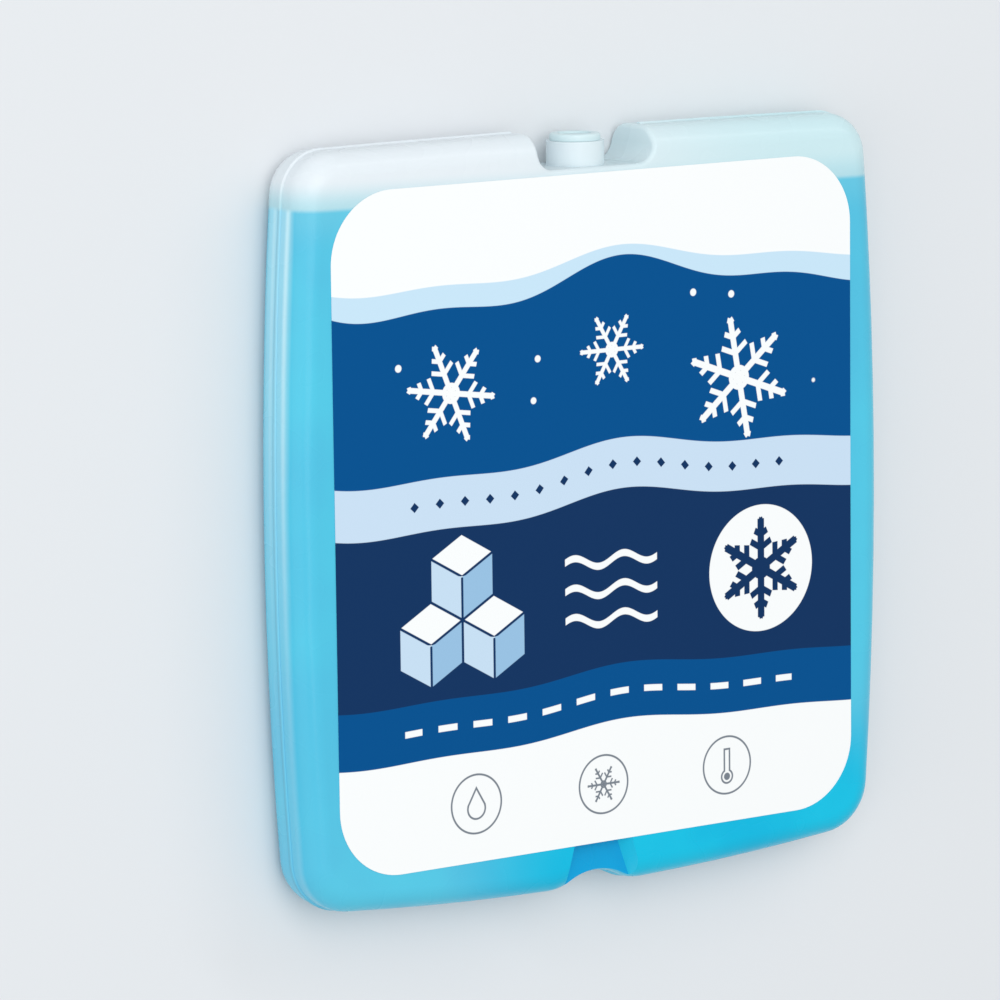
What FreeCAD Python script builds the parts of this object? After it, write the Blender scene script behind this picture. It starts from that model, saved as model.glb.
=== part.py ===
import FreeCAD, Part
import math
import os

V = FreeCAD.Vector

# Reusable slim ice pack, lying flat on its back with the label up.
# X runs across the pack, Y runs up the label towards the filler, Z is the thickness.
# Origin: middle of the pack, on the surface it lies on. Millimetres.

# Driving sizes of the pack
pack_width = 120.8
pack_height = 128.9
pack_thickness = 13.0
wall = 1.0
edge_round = 4.2

# Outline: each side bows out by its rise, and the corners are round
side_rise = 2.8
top_rise = 0.5
bottom_rise = 3.4
top_corner_radius = 7.5
bottom_corner_radius = 9.4

# Parting bead, the fine raised line where the two halves of the mould met
bead_height = 0.3
bead_width = 0.9
bead_bevel = 0.25
bead_to_bite = 0.6

# Notch in the bottom edge, an arc with blended ends
notch_depth = 2.5
notch_floor_radius = 11.0
notch_blend_radius = 9.0

# Scoop in each face above the notch, reaching up the face from the bottom edge
scoop_depth = 2.3
scoop_reach = 11.25
scoop_half_width_top = 5.0
scoop_half_width_bottom = 9.0
scoop_draft = 1.1

# Bite in the top edge, with the filler neck standing in it
bite_half_width = 11.7
bite_depth = 6.0
bite_corner_radius = 3.0
bite_edge_round = 0.8
neck_radius = 4.9
neck_bore_radius = 3.4
neck_below_top = 1.9

# Filler plug: a stem that fills the bore, and a head that rests on the neck
plug_head_radius = 4.3
plug_head_height = 1.2
plug_head_bevel = 0.4
plug_stem_length = 5.0

# Coolant, frozen while the pack stood up and leaned by a hair, with air left above it
fill_below_top = 10.85
fill_lean_degrees = -0.86

# Label
label_width = 106.0
label_height = 113.9
label_thickness = 0.12
label_corner_radius = 12.0
label_up_shift = 0.6

# Worked out from the sizes above
half_width = pack_width / 2
half_height = pack_height / 2
mid_z = pack_thickness / 2
bite_floor_y = half_height - bite_depth
neck_top_y = half_height - neck_below_top
fill_line_y = half_height - fill_below_top
scoop_top_y = scoop_reach - half_height
scoop_start_y = -half_height - scoop_depth


def bow_radius(half_chord, rise):
    return (half_chord ** 2 + rise ** 2) / (2 * rise)


def arc_between(start, middle, end):
    return Part.Arc(start, middle, end).toShape()


def short_arc(centre, start, end):
    """The arc from start to end round centre, by the shorter way."""
    radius = (start - centre).Length
    middle = (start + end) * 0.5 - centre
    middle.normalize()
    return arc_between(start, centre + middle * radius, end)


def blend_centre(centre_a, distance_a, centre_b, distance_b, right_of_line):
    """A point at given distances from two centres, on the asked side of the line between them."""
    line = centre_b - centre_a
    span = line.Length
    along = (span ** 2 + distance_a ** 2 - distance_b ** 2) / (2 * span)
    aside = math.sqrt(distance_a ** 2 - along ** 2)
    unit = line * (1 / span)
    normal = V(unit.y, -unit.x, 0) if right_of_line else V(-unit.y, unit.x, 0)
    return centre_a + unit * along + normal * aside


def toward(centre, target, radius):
    direction = target - centre
    direction.normalize()
    return centre + direction * radius


def corner(side_centre, side_radius, end_centre, end_radius, radius, right_of_line):
    """Where a round corner meets the bowed side and the bowed end."""
    middle = blend_centre(side_centre, side_radius - radius, end_centre, end_radius - radius, right_of_line)
    return middle, toward(side_centre, middle, side_radius), toward(end_centre, middle, end_radius)


def mirrored(point):
    return V(-point.x, point.y, point.z)


def level_edges(body):
    return [edge for edge in body.Edges if abs(edge.tangentAt(edge.FirstParameter).z) < 0.01]


def upright_edges(body):
    return [edge for edge in body.Edges if abs(edge.tangentAt(edge.FirstParameter).z) > 0.99]


def lies_on(edge, skin):
    span = edge.LastParameter - edge.FirstParameter
    spots = [edge.valueAt(edge.FirstParameter + span * share) for share in (0.25, 0.5, 0.75)]
    return all(Part.Vertex(spot).distToShape(skin)[0] < 0.001 for spot in spots)


def soft_cut(body, cutter, radius):
    """The body without the cutter, with the edges around the mouth of the cut rounded."""
    cut_body = body.cut(cutter)
    skins = [Part.Shell(body.Faces), Part.Shell(cutter.Faces)]
    mouth = [edge for edge in cut_body.Edges if all(lies_on(edge, skin) for skin in skins)]
    return cut_body.makeFillet(radius, mouth)


def outline_wire(inset):
    """The pack's outline seen from the front, moved in by inset, as tangent arcs."""
    half_x = half_width - inset
    half_y = half_height - inset
    side_radius = bow_radius(half_height, side_rise) - inset
    top_radius = bow_radius(half_width, top_rise) - inset
    bottom_radius = bow_radius(half_width, bottom_rise) - inset
    side_centre = V(half_x - side_radius, 0, 0)
    top_centre = V(0, half_y - top_radius, 0)
    bottom_centre = V(0, bottom_radius - half_y, 0)

    top_mid, side_top, top_end = corner(
        side_centre, side_radius, top_centre, top_radius, top_corner_radius - inset, False)
    bottom_mid, side_bottom, bottom_end = corner(
        side_centre, side_radius, bottom_centre, bottom_radius, bottom_corner_radius - inset, True)

    # Notch: the floor arc is cut from outside, and a rounder arc on each side leads into the edge
    floor_radius = notch_floor_radius + inset
    blend_radius = notch_blend_radius - inset
    floor_centre = V(0, -half_y + notch_depth - floor_radius, 0)
    blend_mid = blend_centre(
        floor_centre, floor_radius + blend_radius, bottom_centre, bottom_radius - blend_radius, True)
    blend_out = toward(bottom_centre, blend_mid, bottom_radius)
    blend_in = toward(floor_centre, blend_mid, floor_radius)

    edges = [
        arc_between(side_bottom, V(half_x, 0, 0), side_top),
        short_arc(top_mid, side_top, top_end),
        arc_between(top_end, V(0, half_y, 0), mirrored(top_end)),
        short_arc(mirrored(top_mid), mirrored(top_end), mirrored(side_top)),
        arc_between(mirrored(side_top), V(-half_x, 0, 0), mirrored(side_bottom)),
        short_arc(mirrored(bottom_mid), mirrored(side_bottom), mirrored(bottom_end)),
        short_arc(bottom_centre, mirrored(bottom_end), mirrored(blend_out)),
        short_arc(mirrored(blend_mid), mirrored(blend_out), mirrored(blend_in)),
        short_arc(floor_centre, mirrored(blend_in), blend_in),
        short_arc(blend_mid, blend_in, blend_out),
        short_arc(bottom_centre, blend_out, bottom_end),
        short_arc(bottom_mid, bottom_end, side_bottom)]
    return Part.Wire(edges)


def slab(inset):
    """The pack's plain body, moved in by inset on every side, with its long edges rounded."""
    face = Part.Face(outline_wire(inset))
    face.translate(V(0, 0, inset))
    body = face.extrude(V(0, 0, pack_thickness - 2 * inset))
    return body.makeFillet(edge_round - inset, level_edges(body))


def rounded_box(half_x, y_low, y_high, z_low, z_high, radius):
    box = Part.makeBox(2 * half_x, y_high - y_low, z_high - z_low, V(-half_x, y_low, z_low))
    low_corners = [edge for edge in upright_edges(box) if edge.CenterOfMass.y < y_low + radius]
    return box.makeFillet(radius, low_corners)


def bite(grow):
    """What is cut out of the top edge, grown by grow for the cavity inside."""
    return rounded_box(
        bite_half_width + grow, bite_floor_y - grow, half_height + edge_round,
        -edge_round, pack_thickness + edge_round, bite_corner_radius + grow)


def scoop_section(half_top, half_bottom, top_y, z):
    corners = [
        V(-half_bottom, scoop_start_y, z), V(half_bottom, scoop_start_y, z),
        V(half_top, top_y, z), V(-half_top, top_y, z)]
    return Part.makePolygon(corners + corners[:1])


def scoop(grow):
    """The cut in the front face above the notch, grown by grow for the cavity inside."""
    mouth_z = pack_thickness + scoop_draft
    floor_z = pack_thickness - scoop_depth - grow
    widen = scoop_draft / scoop_depth * (mouth_z - floor_z) + grow
    floor_top = scoop_half_width_top - scoop_draft + grow
    floor_bottom = scoop_half_width_bottom - scoop_draft + grow
    mouth = scoop_section(floor_top + widen, floor_bottom + widen, scoop_top_y + widen, mouth_z)
    floor = scoop_section(floor_top, floor_bottom, scoop_top_y - scoop_depth + grow, floor_z)
    return Part.makeLoft([floor, mouth], True, True)


def both_faces(cutter):
    """The cutter and its mirror image in the parting plane."""
    return [cutter, cutter.mirror(V(0, 0, mid_z), V(0, 0, 1))]


def along_y(radius, y_low, y_high):
    return Part.makeCylinder(radius, y_high - y_low, V(0, y_low, mid_z), V(0, 1, 0))


def parting_bead():
    ring = Part.Face(outline_wire(-bead_height))
    ring.translate(V(0, 0, mid_z - bead_width / 2))
    band = ring.extrude(V(0, 0, bead_width))
    return band.makeChamfer(bead_bevel, level_edges(band)).cut(bite(bite_edge_round + bead_to_bite))


def cavity():
    """The space inside the walls, from the bottom edge up to the filler."""
    inside = slab(wall).cut([bite(wall)] + both_faces(scoop(wall)))
    return inside.Solids[0]


def make_shell(inside):
    outside = soft_cut(slab(0), bite(0), bite_edge_round).cut(both_faces(scoop(0)))
    outside = outside.fuse(parting_bead())
    neck = along_y(neck_radius, bite_floor_y - wall, neck_top_y)
    bore = along_y(neck_bore_radius, bite_floor_y - 2 * wall, neck_top_y)
    return outside.fuse(neck).cut([inside, bore]).removeSplitter().Solids[0]


def make_gel(inside):
    """The part of the cavity below the fill line, with the wedge above it cut away."""
    above = Part.makeBox(2 * pack_width, pack_height, 2 * pack_thickness,
                         V(-pack_width, fill_line_y, -mid_z))
    above.rotate(V(0, fill_line_y, 0), V(0, 0, 1), fill_lean_degrees)
    return inside.cut(above).Solids[0]


def make_plug():
    stem = along_y(neck_bore_radius, neck_top_y - plug_stem_length, neck_top_y)
    head = along_y(plug_head_radius, neck_top_y, neck_top_y + plug_head_height)
    rim = [edge for edge in head.Edges if edge.Closed and edge.CenterOfMass.y > neck_top_y + plug_head_bevel]
    return stem.fuse(head.makeChamfer(plug_head_bevel, rim)).removeSplitter().Solids[0]


def make_label():
    sheet = Part.makeBox(
        label_width, label_height, label_thickness,
        V(-label_width / 2, label_up_shift - label_height / 2, pack_thickness))
    return sheet.makeFillet(label_corner_radius, upright_edges(sheet)).Solids[0]


inside = cavity()
pieces = {
    "shell": make_shell(inside),
    "gel": make_gel(inside),
    "filler_plug": make_plug(),
    "front_label": make_label()}

# The outline is not quite even top and bottom, so the pieces are centred together
box = pieces["shell"].optimalBoundingBox(False, False)
centring = V(-box.Center.x, -box.Center.y, -box.ZMin)

os.makedirs("parts", exist_ok=True)
for name, shape in pieces.items():
    shape.translate(centring)
    shape.exportStep("parts/" + name + ".step")
    size = shape.optimalBoundingBox(False, False)
    print(name, shape.isValid(), shape.ShapeType, round(shape.Volume), "mm3,",
          round(size.XLength, 2), round(size.YLength, 2), round(size.ZLength, 2), "mm")
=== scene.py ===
import math
import bpy
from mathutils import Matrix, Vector


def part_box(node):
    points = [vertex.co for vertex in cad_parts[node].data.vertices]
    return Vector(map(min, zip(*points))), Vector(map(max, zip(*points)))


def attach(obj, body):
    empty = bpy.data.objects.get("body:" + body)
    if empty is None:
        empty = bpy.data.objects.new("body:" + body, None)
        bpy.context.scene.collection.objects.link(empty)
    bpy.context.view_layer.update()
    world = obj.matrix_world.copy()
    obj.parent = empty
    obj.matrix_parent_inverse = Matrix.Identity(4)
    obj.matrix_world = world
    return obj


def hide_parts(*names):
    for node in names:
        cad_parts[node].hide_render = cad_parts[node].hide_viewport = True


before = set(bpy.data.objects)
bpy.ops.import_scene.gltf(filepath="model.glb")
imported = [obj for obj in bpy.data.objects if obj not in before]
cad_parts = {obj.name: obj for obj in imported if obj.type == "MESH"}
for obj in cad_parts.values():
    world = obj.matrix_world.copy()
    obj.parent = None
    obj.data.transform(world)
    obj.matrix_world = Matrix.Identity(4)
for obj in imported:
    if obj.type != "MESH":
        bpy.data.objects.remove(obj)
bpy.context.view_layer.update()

# lengths in the dictionaries are millimetres and angles are degrees, unless a note says otherwise
mm = 0.001
packLow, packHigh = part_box("shell")
partingHeight = (packLow.z + packHigh.z) / 2 / mm      # where the two halves of the mould met
labelLow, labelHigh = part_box("front_label")
labelMiddle = (labelLow + labelHigh) / 2
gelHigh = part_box("gel")[1]
plugLow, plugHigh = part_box("filler_plug")
print("frame loaded")


class Value:                                  # wraps one socket, so that sums on it add Math nodes
    def __init__(self, paint, socket):
        self.paint = paint
        self.socket = socket

    def math(self, operation, *others, first=None):
        values = [self, *others] if first is None else [first, self]
        return self.paint.add("ShaderNodeMath", {"operation": operation}, dict(enumerate(values))).out()

    def __add__(self, other):
        return self.math("ADD", other)

    def __sub__(self, other):
        return self.math("SUBTRACT", other)

    def __rsub__(self, other):
        return self.math("SUBTRACT", first=other)

    def __mul__(self, other):
        return self.math("MULTIPLY", other)

    def __truediv__(self, other):
        return self.math("DIVIDE", other)

    def __pow__(self, other):
        return self.math("POWER", other)

    def __abs__(self):
        return self.math("ABSOLUTE")

    __radd__ = __add__
    __rmul__ = __mul__

    def least(self, other):
        return self.math("MINIMUM", other)

    def most(self, other):
        return self.math("MAXIMUM", other)

    def wrapped(self, step):                  # starts again from 0 at every step
        return self.math("FLOORED_MODULO", step)

    def between(self, low, high):             # 0 to 1 becomes low to high
        return self * (high - low) + low

    def rise(self, start, end):               # 0 before start, 1 after end, soft in between
        return self.paint.add("ShaderNodeMapRange", {"interpolation_type": "SMOOTHSTEP"},
                              {"Value": self, "From Min": start, "From Max": end}).out()

    def inside(self, edge, soft=0.07):        # 1 where the value is under edge, with a crisp printed edge
        return self.rise(edge + soft, edge - soft)


class Node:
    def __init__(self, paint, node):
        self.paint = paint
        self.node = node

    def out(self, name=0):
        return Value(self.paint, self.node.outputs[name])


class Paint:                                  # one material and its nodes
    def __init__(self, name):
        self.material = bpy.data.materials.new(name)
        self.material.use_nodes = True
        self.tree = self.material.node_tree
        self.tree.nodes.clear()
        self.where = self.add("ShaderNodeTexCoord")

    def add(self, kind, settings=None, sockets=None):
        node = self.tree.nodes.new(kind)
        for key, value in (settings or {}).items():
            setattr(node, key, value)
        for key, value in (sockets or {}).items():
            if isinstance(value, Value):
                self.tree.links.new(value.socket, node.inputs[key])
            else:
                node.inputs[key].default_value = value
        return Node(self, node)

    def split(self, output):
        parts = self.add("ShaderNodeSeparateXYZ", sockets={0: self.where.out(output)})
        return [parts.out(axis) for axis in "XYZ"]

    def place(self):                          # where a point lies, in millimetres
        return [part / mm for part in self.split("Object")]

    def noise(self, size, detail=0.0, roughness=0.5):
        # size is the width of one blotch in millimetres
        return self.add("ShaderNodeTexNoise", sockets={
            "Vector": self.where.out("Object"), "Scale": 1 / (size * mm),
            "Detail": detail, "Roughness": roughness}).out("Fac")

    def blend(self, share, first, second):
        # sockets 6 and 7 are the two colours, and output 2 is their mix
        return self.add("ShaderNodeMix", {"data_type": "RGBA"}, {0: share, 6: first, 7: second}).out(2)

    def bump(self, height, depth):
        # depth is the height of the bumps in millimetres
        return self.add("ShaderNodeBump", sockets={"Height": height, "Distance": depth * mm}).out()

    def surface(self, sockets):
        shader = self.add("ShaderNodeBsdfPrincipled", sockets=sockets)
        self.add("ShaderNodeOutputMaterial", sockets={"Surface": shader.out()})
        return self.material


def colour(red, green, blue):                 # screen values, 0 to 255, as the linear colour Blender works in
    def linear(level):
        level = level / 255
        return level / 12.92 if level <= 0.04045 else ((level + 0.055) / 1.055) ** 2.4
    return (linear(red), linear(green), linear(blue), 1.0)


studio = {
    # the floor, in metres
    "floorSize": 6.0, "floorColour": (226, 229, 232), "floorRoughness": 0.9, "floorShine": 0.05,
    "worldColour": (0.975, 0.99, 1.0), "worldStrength": 0.60,
    # each soft box: name, width and height in metres, watts, and place in metres
    "softBoxes": (
        ("keySoftBox", (1.5, 1.5), 14.4, (-0.55, 0.45, 1.55)),
        ("sideSoftBox", (0.7, 1.6), 3.4, (-1.4, -0.1, 0.5)),
        ("edgeSoftBox", (1.1, 0.12), 1.6, (0.75, 0.82, 0.71)),
    ),
    "lens": 201.951, "sensor": 36.0, "clip": (0.01, 50),         # the clip in metres
    "cameraPlace": (-537.455, 151.243, 759.844),      # from the middle of the pack's face
    "cameraTurn": (-8.6106, -34.3394, -0.8332),
    "labelShift": 0.6,                                # from that middle up to the label's
}


def softBox(name, size, power, place):
    aim = (-Vector(place)).to_track_quat("-Z", "Y").to_euler()
    bpy.ops.object.light_add(type="AREA", location=place, rotation=aim)
    lamp = bpy.context.object
    lamp.name = name
    lamp.data.shape = "RECTANGLE"
    lamp.data.size, lamp.data.size_y = size
    lamp.data.energy = power


def makeStudio():
    bpy.ops.mesh.primitive_plane_add(size=studio["floorSize"])
    floor = bpy.context.object
    floor.name = "floor"
    floor.data.materials.append(Paint("paleFloor").surface({
        "Base Color": colour(*studio["floorColour"]), "Roughness": studio["floorRoughness"],
        "Specular IOR Level": studio["floorShine"]}))

    for name, size, power, place in studio["softBoxes"]:
        softBox(name, size, power, place)

    world = bpy.data.worlds.new("softStudio")
    world.use_nodes = True
    sky = world.node_tree.nodes["Background"]
    sky.inputs["Color"].default_value = (*studio["worldColour"], 1.0)
    sky.inputs["Strength"].default_value = studio["worldStrength"]
    bpy.context.scene.world = world

    middle = Vector((0, labelMiddle.y - studio["labelShift"] * mm, packHigh.z))
    bpy.ops.object.camera_add(
        location=middle + Vector(studio["cameraPlace"]) * mm,
        rotation=[math.radians(turn) for turn in studio["cameraTurn"]])
    camera = bpy.context.object
    camera.data.lens = studio["lens"]
    camera.data.sensor_width = studio["sensor"]
    camera.data.clip_start, camera.data.clip_end = studio["clip"]
    bpy.context.scene.camera = camera
    bpy.context.scene.view_settings.view_transform = "Standard"
    print("studio ready")


makeStudio()


def copyOfNode(node, name, weld=0.001):       # one joined mesh of its own, with points within weld mm merged
    bpy.ops.object.select_all(action="DESELECT")
    piece = bpy.data.objects.new(name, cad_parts[node].data.copy())
    bpy.context.scene.collection.objects.link(piece)
    piece.data.materials.clear()
    bpy.context.view_layer.objects.active = piece
    piece.select_set(True)
    # the stored normals belong to the loose faces, and would round off every edge once the faces are joined
    bpy.ops.mesh.customdata_custom_splitnormals_clear()
    bpy.ops.object.mode_set(mode="EDIT")
    bpy.ops.mesh.select_all(action="SELECT")
    bpy.ops.mesh.remove_doubles(threshold=weld * mm)
    bpy.ops.object.mode_set(mode="OBJECT")
    return piece


def bevelEdges(piece, width, sharpest=30, steps=2):
    bpy.ops.object.modifier_add(type="BEVEL")
    bevel = piece.modifiers[-1]
    bevel.width = width * mm
    bevel.segments = steps
    bevel.angle_limit = math.radians(sharpest)
    bpy.ops.object.modifier_apply(modifier=bevel.name)


def smoothSkin(piece, sharpest):
    # smooth up to that many degrees, with the flat faces kept flat
    bpy.ops.object.select_all(action="DESELECT")
    bpy.context.view_layer.objects.active = piece
    piece.select_set(True)
    bpy.ops.object.shade_smooth_by_angle(angle=math.radians(sharpest))
    bpy.ops.object.modifier_add(type="WEIGHTED_NORMAL")
    piece.modifiers[-1].keep_sharp = True
    bpy.ops.object.modifier_apply(modifier=piece.modifiers[-1].name)


def finishPiece(piece, node):
    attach(piece, "root")
    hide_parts(node)


coolant = {
    # the fill line: how far under the gel's highest point it crosses the middle, and its fall per mm across
    "lineDrop": 0.4, "lean": 0.015,
    # the scoop colour is painted shade: a deeper blue for the recessed scoop's floor
    "deep": (0, 182, 221), "bright": (12, 192, 226), "frost": (200, 236, 246), "scoop": (0, 162, 218),
    # the clouds: their size and detail, and where the bright blue comes up in them
    "cloud": (18, 2.0), "cloudFade": (0.3, 0.7),
    # a scoop's floor, where the painted shade goes: how level it is, and how softly it ends
    "faceTilt": (0.93, 0.98), "scoopSoft": 0.4,
}

fillLine = gelHigh.y / mm - coolant["lineDrop"]          # mm up the pack, at its middle


def aboveLine(x, y):                          # mm above the fill line
    return y + x * coolant["lean"] - fillLine


def coolantColour(paint, flat, height, recess):
    # cloudy blue, and a deeper blue painted on the recessed scoop's floor as painted shade
    clouds = paint.noise(*coolant["cloud"]).rise(*coolant["cloudFade"])
    body = paint.blend(clouds, colour(*coolant["deep"]), colour(*coolant["bright"]))
    scoop = flat.rise(*coolant["faceTilt"]) * abs(height).rise(recess, recess - coolant["scoopSoft"])
    return paint.blend(scoop, body, colour(*coolant["scoop"])), scoop


shell = {
    "sharpest": 40,
    "recess": 5.4,                                    # a flat nearer the parting plane is the scoop's floor
    # above the fill line: close to it, then to the left, painted lighter there as light from the left, and to
    # the right
    "overAir": 0.86, "lineSoft": 0.5, "mist": (190, 232, 242), "mistDepth": 5.0,
    "frostLitLeft": (240, 248, 253), "frostRight": (214, 243, 248), "frostLightFade": (-25, 45),
    # how much milk the wall adds over the coolant: on the faces, towards the corners and near the fill line
    "milk": (228, 244, 228), "faceMilk": 0.082, "cornerMilk": 0.022, "cornerSize": (60, 64),
    "topMilk": 0.05, "milkDepth": 7.0,
    # the clear part of the faces, low and to the right
    "clearPlace": (23.5, -60), "clearSize": (38, 18), "clearFade": (0.6, 2.2),
    # and on the side walls: at the bottom of the pack and towards the filler
    "sideMilk": (214, 248, 255), "wallMilk": (0.22, 0.52), "seamMilk": (0.02, 0.19), "highFade": (-45, 60),
    # where the side walls are: by the slope of the skin, or by their distance from the parting plane
    "sideTilt": (0.62, 0.05), "sideHalf": (2.5, 1.5),
    # the milky lines on the side wall: distance from the parting plane, half width and strength
    "seams": ((2.5, 1.0, 1.8), (-1.4, 0.9, 1.0)),
    # the parting bead is a little darker than the wall: its half width, and how much
    "beadHalf": (0.4, 0.25), "beadShade": 0.24, "beadColour": (100, 130, 150),
    # satin skin: the haze's blotches and their detail, roughness, shine, and the wall's waves
    "haze": (8, 1.0), "roughness": (0.23, 0.31), "shine": 0.16, "gloss": 0.1, "glossRoughness": 0.12,
    "waveSize": 9, "waveDepth": 0.05,
}


def oval(x, y, middle, size):                 # 1 on the oval's edge, less inside
    return ((x - middle[0]) / size[0]) ** 2 + ((y - middle[1]) / size[1]) ** 2


def shellPlastic():
    # a milky wall that lies on the coolant and carries its colour, and frosted plastic over the air above
    paint = Paint("milkyPolyethylene")
    x, y, z = paint.place()
    flat = abs(paint.split("Normal")[2])                        # 1 on the faces, 0 on the side walls
    height = z - partingHeight
    above = aboveLine(x, y)
    body, scoop = coolantColour(paint, flat, height, shell["recess"])

    # no milk on the scoop's floor, so its painted shade stays deep
    clear = oval(x, y, shell["clearPlace"], shell["clearSize"]).rise(*shell["clearFade"]) * (1 - scoop)
    corner = oval(x, y, (0, 0), shell["cornerSize"]) * shell["cornerMilk"] + shell["faceMilk"]
    milk = (above.rise(-shell["milkDepth"], 0) * shell["topMilk"] + corner) * clear

    # more on the side walls, most in the lines each side of the parting bead
    high = y.rise(*shell["highFade"])
    lines = None
    for offset, width, strength in shell["seams"]:
        line = abs(height - offset).rise(width, 0) * strength
        lines = line if lines is None else lines.most(line)
    side = flat.rise(*shell["sideTilt"]).most(abs(height).rise(*shell["sideHalf"]))
    milk = milk.most(side * (high.between(*shell["wallMilk"]) + lines * high.between(*shell["seamMilk"])))

    wet = paint.blend(milk, body, paint.blend(side, colour(*shell["milk"]), colour(*shell["sideMilk"])))
    bead = abs(height).rise(*shell["beadHalf"]) * side * shell["beadShade"]
    wet = paint.blend(bead, wet, colour(*shell["beadColour"]))
    # the frost is painted lighter to the left, as painted light falling from the left
    frost = x.rise(*shell["frostLightFade"])
    dry = paint.blend(frost, colour(*shell["frostLitLeft"]), colour(*shell["frostRight"]))
    dry = paint.blend(above.rise(shell["mistDepth"], 0), dry, colour(*shell["mist"]))
    air = above.rise(-shell["lineSoft"], shell["lineSoft"])
    return paint.surface({
        "Base Color": paint.blend(air, wet, dry), "Alpha": air.between(1, shell["overAir"]),
        "Roughness": paint.noise(*shell["haze"]).between(*shell["roughness"]),
        "Specular IOR Level": shell["shine"],
        "Coat Weight": shell["gloss"], "Coat Roughness": shell["glossRoughness"],
        "Normal": paint.bump(paint.noise(shell["waveSize"]), shell["waveDepth"])})


def makeShell():
    piece = copyOfNode("shell", "shell_body")
    smoothSkin(piece, shell["sharpest"])
    piece.data.materials.append(shellPlastic())
    finishPiece(piece, "shell")
    print("shell made")


makeShell()


gel = {
    "inset": 0.05,                                    # clear of the wall, so the two skins don't meet
    "sharpest": 40,
    "recess": 4.4,                                    # a flat nearer the parting plane is the scoop's floor
    # the frosted top: how far below the fill line it starts, and how level the skin is there
    "topDepth": 1.2, "topSoft": 0.4, "topTilt": (0.6, 0.9),
    # ice crystals in the skin: their size, detail and roughness
    "crystals": (1.2, 3.0, 0.65), "crystalDepth": 0.03, "roughness": (0.45, 0.70), "shine": 0.08,
}


def gelColour():
    paint = Paint("frozenGel")
    x, y, z = paint.place()
    upward, outward = paint.split("Normal")[1:]
    # the same painted shade on the scoop's floor as on the shell
    body = coolantColour(paint, abs(outward), z - partingHeight, gel["recess"])[0]
    top = (aboveLine(x, y) + gel["topDepth"]).rise(0, gel["topSoft"]) * upward.rise(*gel["topTilt"])
    crystals = paint.noise(*gel["crystals"])
    return paint.surface({
        "Base Color": paint.blend(top, body, colour(*coolant["frost"])),
        "Roughness": crystals.between(*gel["roughness"]), "Specular IOR Level": gel["shine"],
        "Normal": paint.bump(crystals, gel["crystalDepth"])})


def makeGel():
    piece = copyOfNode("gel", "gel_body")
    bpy.ops.object.mode_set(mode="EDIT")
    bpy.ops.mesh.select_all(action="SELECT")
    bpy.ops.transform.shrink_fatten(value=-gel["inset"] * mm)
    bpy.ops.object.mode_set(mode="OBJECT")
    smoothSkin(piece, gel["sharpest"])
    piece.data.materials.append(gelColour())
    finishPiece(piece, "gel")
    print("gel made")


makeGel()


plug = {
    "sides": 64, "stemRadius": 3.4, "headHeight": 1.2, "headEdge": 0.4, "headSteps": 4,
    "dishRim": 1.1, "dishDepth": 0.35, "edge": 0.1, "sharpest": 35,
    "level": 0.99,                                    # a face at least this square to the neck is an end
    "plastic": (224, 246, 250), "alpha": 0.85,
    "haze": (3, 1.0), "hazeDepth": 0.02, "roughness": (0.25, 0.35),
}


def pickFaces(piece, test):                   # selects the faces that pass, and leaves edit mode on
    bpy.ops.object.mode_set(mode="EDIT")
    bpy.ops.mesh.select_mode(type="FACE")
    bpy.ops.mesh.select_all(action="DESELECT")
    bpy.ops.object.mode_set(mode="OBJECT")
    for face in piece.data.polygons:
        face.select = test(face)
    bpy.ops.object.mode_set(mode="EDIT")


def plugPlastic():
    paint = Paint("plugPlastic")
    haze = paint.noise(*plug["haze"])
    return paint.surface({
        "Base Color": colour(*plug["plastic"]), "Alpha": plug["alpha"],
        "Roughness": haze.between(*plug["roughness"]), "Normal": paint.bump(haze, plug["hazeDepth"])})


def makePlug():
    radius = (plugHigh.x - plugLow.x) / 2
    height = plug["headHeight"] * mm
    stem = plugHigh.y - plugLow.y - height
    bpy.ops.object.select_all(action="DESELECT")
    bpy.ops.mesh.primitive_cylinder_add(
        vertices=plug["sides"], radius=radius, depth=height,
        location=(0, plugHigh.y - height / 2, (plugLow.z + plugHigh.z) / 2),
        rotation=(math.radians(-90), 0, 0))
    piece = bpy.context.object
    piece.name = "plug_body"
    bpy.ops.object.transform_apply(location=True, rotation=True, scale=True)

    # the head: a rounded rim with a shallow dish in it
    pickFaces(piece, lambda face: face.normal.y > plug["level"])
    bpy.ops.mesh.bevel(offset=plug["headEdge"] * mm, segments=plug["headSteps"], affect="EDGES")
    pickFaces(piece, lambda face: face.normal.y > plug["level"])
    bpy.ops.mesh.inset(thickness=plug["dishRim"] * mm)
    bpy.ops.mesh.extrude_region_move(TRANSFORM_OT_translate={"value": (0, -plug["dishDepth"] * mm, 0)})

    # the stem, drawn down out of the head
    pickFaces(piece, lambda face: face.normal.y < -plug["level"])
    bpy.ops.mesh.inset(thickness=radius - plug["stemRadius"] * mm)
    bpy.ops.mesh.extrude_region_move(TRANSFORM_OT_translate={"value": (0, -stem, 0)})
    bpy.ops.object.mode_set(mode="OBJECT")

    bevelEdges(piece, plug["edge"], plug["sharpest"])
    smoothSkin(piece, plug["sharpest"])
    piece.data.materials.append(plugPlastic())
    finishPiece(piece, "filler_plug")
    print("plug made")


makePlug()


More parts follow.
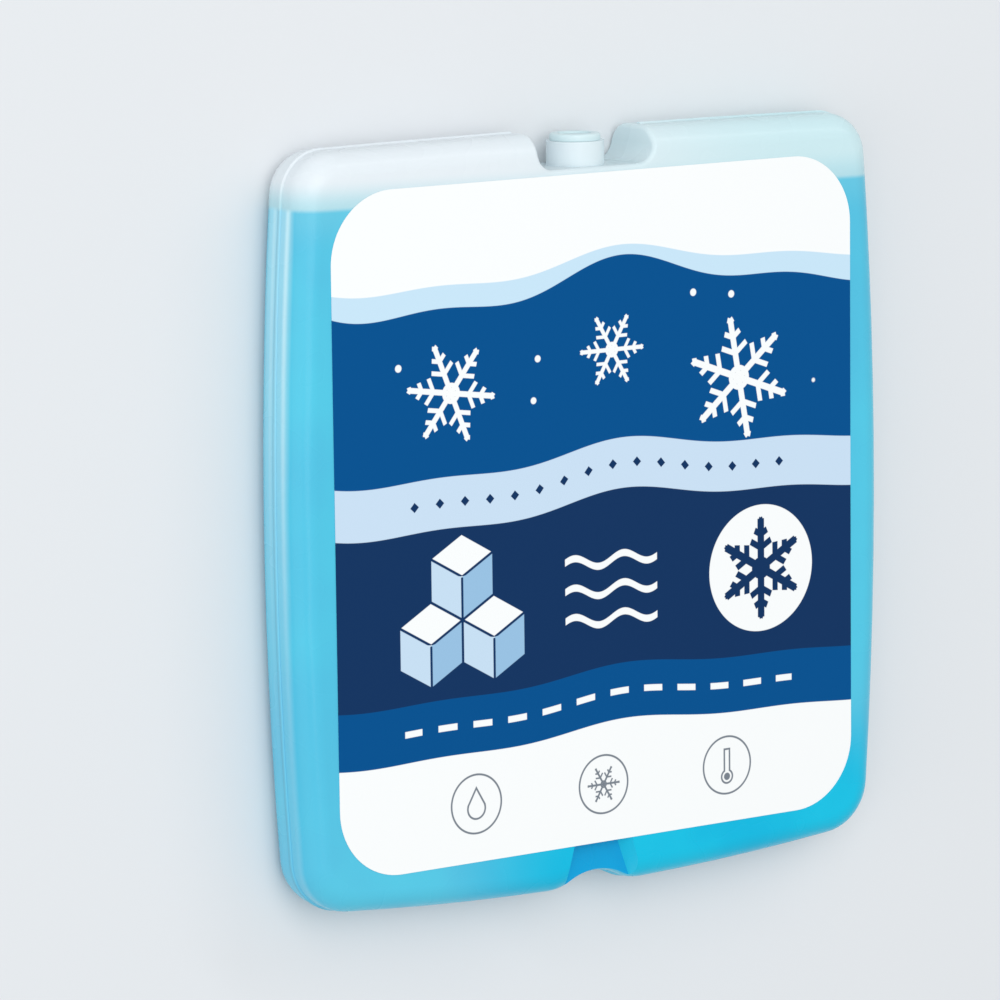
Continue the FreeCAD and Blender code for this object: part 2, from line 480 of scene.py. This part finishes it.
label = {
    "corner": 12.0, "cornerSteps": 20, "lift": 0.02, "edgeRound": 0.03, "sharpest": 50,
    "white": (246, 248, 248), "ice": (198, 226, 243), "blue": (0, 80, 141), "navy": (16, 51, 95),
    "band": (199, 220, 239), "line": (120, 128, 138),
    # where each field ends, from the top down: height over the label's middle, and how far its border swells
    "snowLow": (41.6, 1.0), "iceLow": (38.4, 1.5), "blueLow": (9.6, 0.8), "bandLow": (1.0, 0.8),
    "navyLow": (-28.0, 0.5), "stripLow": (-37.6, 0.5),
    "waves": ((2.1, 84.0, 14.0), (0.9, 37.0, 5.0)),   # height, length and start of the two waves in a border
    # snow crystals on the blue: middle, radius and turn, and how many radii around them stay free of flakes
    "crystals": ((-30.0, 22.5, 8.6, 8), (2.5, 27.0, 6.4, 0), (29.0, 20.0, 10.4, 20)), "crystalClear": 1.2,
    # the flakes between them, with their radius and soft edge in shares of the spacing
    "flakeSpacing": 8.5, "flakeScatter": 0.9, "flakeRadius": 0.075, "flakeSoft": 0.01,
    # the rows of lozenges and of dashes
    "rowReach": 40.0, "lozengeStep": 5.0, "lozengeSize": 0.85, "dashStep": 7.0, "dashSize": (1.9, 0.55),
    # a snow crystal, in shares of its radius: an arm's thickness, the ring, and the twigs' step and reach
    "crystalArm": 0.055, "crystalRing": 0.16, "twigStep": 0.235, "twigReach": 0.5,
    # how fine a twig is against an arm, how twigs shorten outwards, and how many steps out they begin
    "twigFine": 0.8, "twigTaper": 0.45, "twigStart": 1.05,
    # the ice cubes, the wavy lines and the disc with its snow crystal
    "cubes": ((-34.6, -19.2), (-22.0, -19.2), (-28.3, -8.3)), "cubeRadius": 7.0, "cubeGap": 0.45,
    "cubeSoft": 0.05, "cubeMiddle": 0.2,
    "cubeShade": (196, 219, 238), "cubeSide": (150, 190, 222),
    "breeze": (2.0, -13.6), "breezeSize": (9.5, 7.4), "breezeStep": 5.0, "breezeLine": 0.6,
    "breezeTurn": 0.62, "breezeHeight": 0.9,          # radians per mm, and mm
    "disc": (33.5, -13.4, 11.0), "discCrystal": 0.78, "discTurn": 30, "discWeight": 1.5,
    # the round badges: a drop, a snow crystal and a thermometer
    "badges": (-26.0, 0.0, 26.0), "badgeHeight": -47.0, "badgeRadius": 5.0, "badgeLine": 0.17,
    "dropMiddle": -0.8, "dropRadius": 1.75, "dropTip": 2.7, "dropBase": -0.1, "dropSlope": (0.87, 0.5),
    "badgeCrystal": 3.3,
    "tubeMiddle": 0.7, "tubeSize": (0.55, 2.1), "bulbMiddle": -2.0, "bulbRadius": 1.15, "bulbGap": 0.5,
    # satin film: the haze's blotches and their detail, roughness, shine, and the waves in it
    "haze": (5, 1.0), "roughness": (0.48, 0.58), "shine": 0.06, "waveSize": 14, "waveDepth": 0.02,
}


def distance(x, y):
    return (x * x + y * y) ** 0.5


def crystal(u, v, across, up, radius, turn, weight=1.0):
    # six arms with slanting twigs, folded into one half of an arm's wedge
    du, dv = u - across, v - up
    far = distance(du, dv)
    wedge = math.pi / 3
    angle = dv.math("ARCTAN2", du) + math.radians(turn)
    tilt = wedge / 2 - abs(angle.wrapped(wedge) - wedge / 2)
    along, aside = far * tilt.math("COSINE"), far * tilt.math("SINE")
    thick = radius * label["crystalArm"] * weight
    thin = thick * label["twigFine"]
    step = radius * label["twigStep"]
    slant = along * math.sin(wedge) - aside * math.cos(wedge)
    twigs = abs(slant.wrapped(step) - step / 2).inside(thin)
    twigs = twigs * (aside + along * label["twigTaper"]).inside(radius * label["twigReach"])
    twigs = twigs * slant.rise(step, step * label["twigStart"])
    arms = aside.inside(thick) * along.inside(radius)
    return arms.most(twigs).most(abs(far - radius * label["crystalRing"]).inside(thin))


def cube(paint, u, v, across, up, base):
    # one ice cube seen corner on: three lozenges with a gap between them
    du, dv = abs(u - across), v - up
    soft, middle = label["cubeSoft"], label["cubeMiddle"]
    rise, run = math.cos(math.pi / 6), math.sin(math.pi / 6)
    whole = du.most(du * run + abs(dv) * rise).inside(label["cubeRadius"] * rise)
    ridge = dv * rise - du * run
    upper = dv.rise(-middle, middle)
    gap = (abs(ridge) + (1 - upper)).least(du + upper).inside(label["cubeGap"] / 2)
    right = (u - across).rise(-soft, soft)
    sides = paint.blend(right, colour(*label["cubeShade"]), colour(*label["cubeSide"]))
    faces = paint.blend(ridge.rise(-soft, soft), sides, colour(*label["white"]))
    return paint.blend(whole * (1 - gap), base, faces)


def dropShape(du, dv):                        # below 0 inside the shape
    run, rise = label["dropSlope"]
    bowl = distance(du, dv - label["dropMiddle"]) - label["dropRadius"]
    tip = abs(du) * run + (dv - label["dropTip"]) * rise
    return bowl.least(tip.most(label["dropBase"] - dv))


def badgeInk(u, v, index, across):
    up, thick = label["badgeHeight"], label["badgeLine"]
    du, dv = u - across, v - up
    ring = abs(distance(du, dv) - label["badgeRadius"]).inside(thick)
    if index == 0:                                    # a drop
        return ring.most(abs(dropShape(du, dv)).inside(thick))
    if index == 1:                                    # a snow crystal
        return ring.most(crystal(u, v, across, up, label["badgeCrystal"], 0))
    wide, tall = label["tubeSize"]                    # a thermometer
    tube = (abs(du) - wide).most(abs(dv - label["tubeMiddle"]) - tall)
    bulb = distance(du, dv - label["bulbMiddle"]) - label["bulbRadius"]
    return ring.most(abs(tube.least(bulb)).inside(thick)).most(bulb.inside(-label["bulbGap"]))


def labelPrint():
    paint = Paint("printedFilm")
    x, y = paint.place()[:2]
    u, v = x - labelMiddle.x / mm, y - labelMiddle.y / mm
    white, ice, blue, navy, band, line = (
        colour(*label[name]) for name in ("white", "ice", "blue", "navy", "band", "line"))
    swell = None
    for height, length, start in label["waves"]:
        wave = ((u + start) * (2 * math.pi / length)).math("SINE") * height
        swell = wave if swell is None else swell + wave

    def below(border):                        # 1 under a swelling border
        height, share = label[border]
        return (v - swell * share).inside(height)

    def row(step, high, low):                 # places along a row, and heights above its wavy middle line
        share = label[high][1]
        middle = (label[high][0] + label[low][0]) / 2
        return abs(u.wrapped(step) - step / 2), abs(v - swell * share - middle)

    # snow on top, then a strip of ice, then the blue with its snow crystals and flakes
    flakes = paint.add("ShaderNodeTexVoronoi", sockets={
        "Vector": paint.where.out("Object"), "Scale": 1 / (label["flakeSpacing"] * mm),
        "Randomness": label["flakeScatter"]}).out("Distance")
    snow = flakes.inside(label["flakeRadius"], label["flakeSoft"])
    for across, up, radius, turn in label["crystals"]:
        free = distance(u - across, v - up).rise(radius, radius * label["crystalClear"])
        snow = (snow * free).most(crystal(u, v, across, up, radius, turn))      # no flake over a crystal
    ink = paint.blend(below("snowLow"), white, ice)
    ink = paint.blend(below("iceLow"), ink, paint.blend(snow, blue, white))

    # the pale band with a row of small lozenges
    along, above = row(label["lozengeStep"], "blueLow", "bandLow")
    lozenges = (along + above).inside(label["lozengeSize"]) * abs(u).inside(label["rowReach"])
    ink = paint.blend(below("blueLow"), ink, paint.blend(lozenges, band, navy))

    # the navy field: a pile of ice cubes, wavy lines, and a white disc with a snow crystal
    field = navy
    for across, up in label["cubes"]:
        field = cube(paint, u, v, across, up, field)
    across, up = label["breeze"]
    wide, tall = label["breezeSize"]
    half = label["breezeStep"] / 2
    ripple = v - up - ((u - across) * label["breezeTurn"]).math("SINE") * label["breezeHeight"] + half
    lines = abs(ripple.wrapped(label["breezeStep"]) - half).inside(label["breezeLine"])
    field = paint.blend(lines * abs(u - across).inside(wide) * abs(v - up).inside(tall), field, white)
    across, up, radius = label["disc"]
    disc = distance(u - across, v - up).inside(radius)
    sign = crystal(u, v, across, up, radius * label["discCrystal"], label["discTurn"], label["discWeight"])
    field = paint.blend(disc * (1 - sign), field, white)
    ink = paint.blend(below("bandLow"), ink, field)

    # the lower blue strip with a row of dashes, and the white foot with its round badges
    along, above = row(label["dashStep"], "navyLow", "stripLow")
    wide, tall = label["dashSize"]
    dashes = along.inside(wide) * above.inside(tall) * abs(u).inside(label["rowReach"])
    ink = paint.blend(below("navyLow"), ink, paint.blend(dashes, blue, white))
    badges = None
    for index, across in enumerate(label["badges"]):
        badge = badgeInk(u, v, index, across)
        badges = badge if badges is None else badges.most(badge)
    ink = paint.blend(below("stripLow"), ink, paint.blend(badges, white, line))

    return paint.surface({
        "Base Color": ink, "Roughness": paint.noise(*label["haze"]).between(*label["roughness"]),
        "Specular IOR Level": label["shine"],
        "Normal": paint.bump(paint.noise(label["waveSize"]), label["waveDepth"])})


def makeLabel():
    low = labelLow + Vector((0, 0, label["lift"] * mm))
    size = labelHigh - low
    bpy.ops.object.select_all(action="DESELECT")
    bpy.ops.mesh.primitive_plane_add(size=1, location=(labelMiddle.x, labelMiddle.y, low.z))
    piece = bpy.context.object
    piece.name = "label_film"
    bpy.ops.object.mode_set(mode="EDIT")
    bpy.ops.transform.resize(value=(size.x, size.y, 1))
    bpy.ops.mesh.bevel(offset=label["corner"] * mm, segments=label["cornerSteps"], affect="VERTICES")
    bpy.ops.mesh.extrude_region_move(TRANSFORM_OT_translate={"value": (0, 0, size.z)})
    bpy.ops.mesh.select_all(action="SELECT")
    bpy.ops.mesh.normals_make_consistent(inside=False)
    bpy.ops.object.mode_set(mode="OBJECT")
    bpy.ops.object.transform_apply(location=True, rotation=True, scale=True)
    bevelEdges(piece, label["edgeRound"])
    smoothSkin(piece, label["sharpest"])
    piece.data.materials.append(labelPrint())
    finishPiece(piece, "front_label")
    print("label made")


makeLabel()
